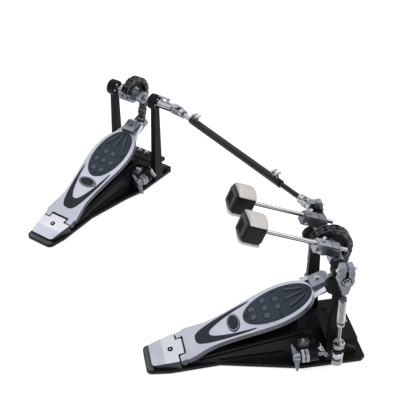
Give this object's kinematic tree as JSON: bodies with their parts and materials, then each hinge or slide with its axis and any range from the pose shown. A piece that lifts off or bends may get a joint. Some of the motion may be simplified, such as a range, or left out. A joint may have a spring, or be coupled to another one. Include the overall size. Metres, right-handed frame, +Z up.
{
  "type": "double bass drum pedal",
  "caption": "Double bass drum pedal: a main pedal with chain cam and felt beaters, driven also by a remote pedal through a telescopic universal-joint shaft.",
  "frame": {"origin": "on the floor, below the middle of the main pedal's axle", "axes": "+X along the main axle to the player's right, +Y towards the drum, +Z up"},
  "size_m": [0.7239, 0.5304, 0.2905],
  "materials": {
    "black_casting": "satin black paint",
    "polished_board": "polished",
    "bright_metal": "bright plated",
    "chain_steel": "oiled dark steel",
    "spring_steel": "plain",
    "grip_rubber": "matt",
    "floor_rubber": "matt",
    "inlay_plastic": "matt",
    "beater_plastic": "semi-gloss black",
    "beater_felt": "felt"
  },
  "bodies": {
    "main_frame": {"main_base": "black_casting", "main_floor_pads": "floor_rubber", "main_heel_plate": "polished_board", "main_heel_hardware": "bright_metal", "main_towers": "black_casting", "main_bearings": "bright_metal", "main_clamp_bracket": "black_casting"},
    "main_clamp_jaw": {"main_clamp_jaw": "black_casting"},
    "main_clamp_screw": {"main_clamp_screw": "bright_metal"},
    "main_board": {"main_footboard": "polished_board", "main_grip_pad": "grip_rubber", "main_inlays": "inlay_plastic", "main_toe_clamp": "bright_metal"},
    "main_rotor": {"main_axle": "bright_metal", "main_cam": "black_casting", "main_chain_wrap": "chain_steel", "front_beater_holder": "bright_metal", "right_spring_lever": "bright_metal"},
    "main_strand": {"main_chain_run": "chain_steel"},
    "front_beater": {"front_beater_rod": "bright_metal", "front_beater_core": "beater_plastic", "front_beater_felt": "beater_felt"},
    "left_rotor": {"left_axle": "bright_metal", "rear_beater_holder": "bright_metal", "left_spring_lever": "bright_metal", "near_axle_yoke": "bright_metal"},
    "rear_beater": {"rear_beater_rod": "bright_metal", "rear_beater_core": "beater_plastic", "rear_beater_felt": "beater_felt"},
    "drive_tube": {"shaft_tube": "black_casting", "tube_yoke": "bright_metal", "shaft_lock_bolts": "bright_metal"},
    "near_cross": {"near_cross": "bright_metal"},
    "remote_frame": {"remote_base": "black_casting", "remote_floor_pads": "floor_rubber", "remote_heel_plate": "polished_board", "remote_heel_hardware": "bright_metal", "remote_towers": "black_casting", "remote_bearings": "bright_metal", "remote_clamp_bracket": "black_casting"},
    "remote_clamp_jaw": {"remote_clamp_jaw": "black_casting"},
    "remote_clamp_screw": {"remote_clamp_screw": "bright_metal"},
    "remote_board": {"remote_footboard": "polished_board", "remote_grip_pad": "grip_rubber", "remote_inlays": "inlay_plastic", "remote_toe_clamp": "bright_metal"},
    "remote_rotor": {"remote_axle": "bright_metal", "remote_cam": "black_casting", "remote_chain_wrap": "chain_steel", "far_axle_yoke": "bright_metal"},
    "remote_strand": {"remote_chain_run": "chain_steel"},
    "drive_rod": {"shaft_rod": "bright_metal", "rod_yoke": "bright_metal"},
    "far_cross": {"far_cross": "bright_metal"},
    "right_spring_link": {"right_spring_rod": "bright_metal"},
    "right_spring_top": {"right_spring": "spring_steel"},
    "right_spring_nuts": {"right_spring_nuts": "bright_metal"},
    "left_spring_link": {"left_spring_rod": "bright_metal"},
    "left_spring_top": {"left_spring": "spring_steel"},
    "left_spring_nuts": {"left_spring_nuts": "bright_metal"}
  },
  "joints": [
    {"name": "main_axle_turn", "type": "hinge", "parent": "main_frame", "child": "main_rotor", "pos_m": [0, 0, 0.19], "axis": [-1, 0, 0], "range_deg": [0, 62], "stiffness_Nm_per_rad": 2.6},
    {"name": "main_board_tilt", "type": "hinge", "parent": "main_frame", "child": "main_board", "pos_m": [0, -0.238, 0.0218], "axis": [-1, 0, 0], "range_deg": [-0.02, 8.21]},
    {"name": "main_strand_swing", "type": "hinge", "parent": "main_rotor", "child": "main_strand", "pos_m": [0, 0.03017, 0.20861], "axis": [-1, 0, 0], "range_deg": [-69.2, 0.02]},
    {"name": "main_clamp_screw_turn", "type": "hinge", "parent": "main_frame", "child": "main_clamp_screw", "pos_m": [0.064, -0.058, 0.034], "axis": [0, 1, 0], "range_deg": [0, 1080]},
    {"name": "main_clamp_jaw_rock", "type": "hinge", "parent": "main_frame", "child": "main_clamp_jaw", "pos_m": [0, 0.014, 0.03], "axis": [-1, 0, 0], "range_deg": [0, 8.01]},
    {"name": "remote_axle_turn", "type": "hinge", "parent": "remote_frame", "child": "remote_rotor", "pos_m": [-0.56, -0.239, 0.19], "axis": [-0.723, -0.6909, 0], "range_deg": [0, 62], "stiffness_Nm_per_rad": 2.6},
    {"name": "remote_board_tilt", "type": "hinge", "parent": "remote_frame", "child": "remote_board", "pos_m": [-0.39557, -0.41107, 0.0218], "axis": [-0.723, -0.6909, 0], "range_deg": [-0.02, 8.21]},
    {"name": "remote_strand_swing", "type": "hinge", "parent": "remote_rotor", "child": "remote_strand", "pos_m": [-0.58085, -0.21719, 0.20861], "axis": [-0.723, -0.6909, 0], "range_deg": [-69.2, 0.02]},
    {"name": "remote_clamp_screw_turn", "type": "hinge", "parent": "remote_frame", "child": "remote_clamp_screw", "pos_m": [-0.48017, -0.24293, 0.034], "axis": [-0.6909, 0.723, 0], "range_deg": [0, 1080]},
    {"name": "remote_clamp_jaw_rock", "type": "hinge", "parent": "remote_frame", "child": "remote_clamp_jaw", "pos_m": [-0.56967, -0.22888, 0.03], "axis": [-0.723, -0.6909, 0], "range_deg": [0, 8.01]},
    {"name": "front_beater_height", "type": "slide", "parent": "main_rotor", "child": "front_beater", "axis": [0, -0.9272, 0.3746], "range_m": [-0.02, 0.025]},
    {"name": "rear_beater_height", "type": "slide", "parent": "left_rotor", "child": "rear_beater", "axis": [0, -0.9272, 0.3746], "range_m": [-0.02, 0.025]},
    {"name": "left_axle_turn", "type": "hinge", "parent": "main_frame", "child": "left_rotor", "pos_m": [0, 0, 0.19], "axis": [-1, 0, 0], "range_deg": [-0.02, 62.02], "stiffness_Nm_per_rad": 2.6},
    {"name": "right_spring_link_tilt", "type": "hinge", "parent": "main_frame", "child": "right_spring_link", "pos_m": [0.074, 0, 0.04975], "axis": [1, 0, 0], "range_deg": [-0.02, 7.71]},
    {"name": "right_spring_stretch", "type": "slide", "parent": "right_spring_link", "child": "right_spring_top", "axis": [0, 0, 1], "range_m": [-0.00005, 0.01185], "deforming": ["right_spring"]},
    {"name": "right_spring_nut_turn", "type": "hinge", "parent": "right_spring_link", "child": "right_spring_nuts", "pos_m": [0.074, 0, 0.04975], "axis": [0, 0, 1], "continuous": true},
    {"name": "left_spring_link_tilt", "type": "hinge", "parent": "main_frame", "child": "left_spring_link", "pos_m": [-0.095, 0, 0.04975], "axis": [1, 0, 0], "range_deg": [-0.02, 7.71]},
    {"name": "left_spring_stretch", "type": "slide", "parent": "left_spring_link", "child": "left_spring_top", "axis": [0, 0, 1], "range_m": [-0.00005, 0.01185], "deforming": ["left_spring"]},
    {"name": "left_spring_nut_turn", "type": "hinge", "parent": "left_spring_link", "child": "left_spring_nuts", "pos_m": [-0.095, 0, 0.04975], "axis": [0, 0, 1], "continuous": true},
    {"name": "drive_tube_turn", "type": "hinge", "parent": "main_frame", "child": "drive_tube", "pos_m": [-0.126, 0, 0.19], "axis": [-0.9078, -0.4193, 0], "range_deg": [-0.02, 60.17]},
    {"name": "near_cross_swing", "type": "hinge", "parent": "left_rotor", "child": "near_cross", "pos_m": [-0.126, 0, 0.19], "axis": [0, 0, 1], "range_deg": [-12.58, 0.02]},
    {"name": "shaft_telescope", "type": "slide", "parent": "main_frame", "child": "remote_frame", "axis": [-0.9078, -0.4193, 0], "range_m": [-0.02, 0.05]},
    {"name": "drive_rod_turn", "type": "hinge", "parent": "remote_frame", "child": "drive_rod", "pos_m": [-0.48192, -0.16438, 0.19], "axis": [-0.9078, -0.4193, 0], "range_deg": [-0.02, 60.17]},
    {"name": "far_cross_swing", "type": "hinge", "parent": "remote_rotor", "child": "far_cross", "pos_m": [-0.48192, -0.16438, 0.19], "axis": [0, 0, 1], "range_deg": [-0.02, 9.79]}
  ],
  "couplings": [
    {"joint": "main_board_tilt", "follows": "main_axle_turn", "ratio": 0.13205},
    {"joint": "main_strand_swing", "follows": "main_axle_turn", "ratio": -1.1159},
    {"joint": "main_clamp_jaw_rock", "follows": "main_clamp_screw_turn", "ratio": 0.007407},
    {"joint": "remote_board_tilt", "follows": "remote_axle_turn", "ratio": 0.13205},
    {"joint": "remote_strand_swing", "follows": "remote_axle_turn", "ratio": -1.1159},
    {"joint": "remote_clamp_jaw_rock", "follows": "remote_clamp_screw_turn", "ratio": 0.007407},
    {"joint": "left_axle_turn", "follows": "remote_axle_turn", "ratio": 1},
    {"joint": "right_spring_link_tilt", "follows": "main_axle_turn", "ratio": 0.12396},
    {"joint": "right_spring_stretch", "follows": "main_axle_turn", "m_per_rad": 0.010902},
    {"joint": "left_spring_link_tilt", "follows": "remote_axle_turn", "ratio": 0.12396},
    {"joint": "left_spring_stretch", "follows": "remote_axle_turn", "m_per_rad": 0.010902},
    {"joint": "drive_tube_turn", "follows": "remote_axle_turn", "ratio": 0.9702},
    {"joint": "near_cross_swing", "follows": "remote_axle_turn", "ratio": -0.20252},
    {"joint": "drive_rod_turn", "follows": "remote_axle_turn", "ratio": 0.9702},
    {"joint": "far_cross_swing", "follows": "remote_axle_turn", "ratio": 0.15763}
  ]
}
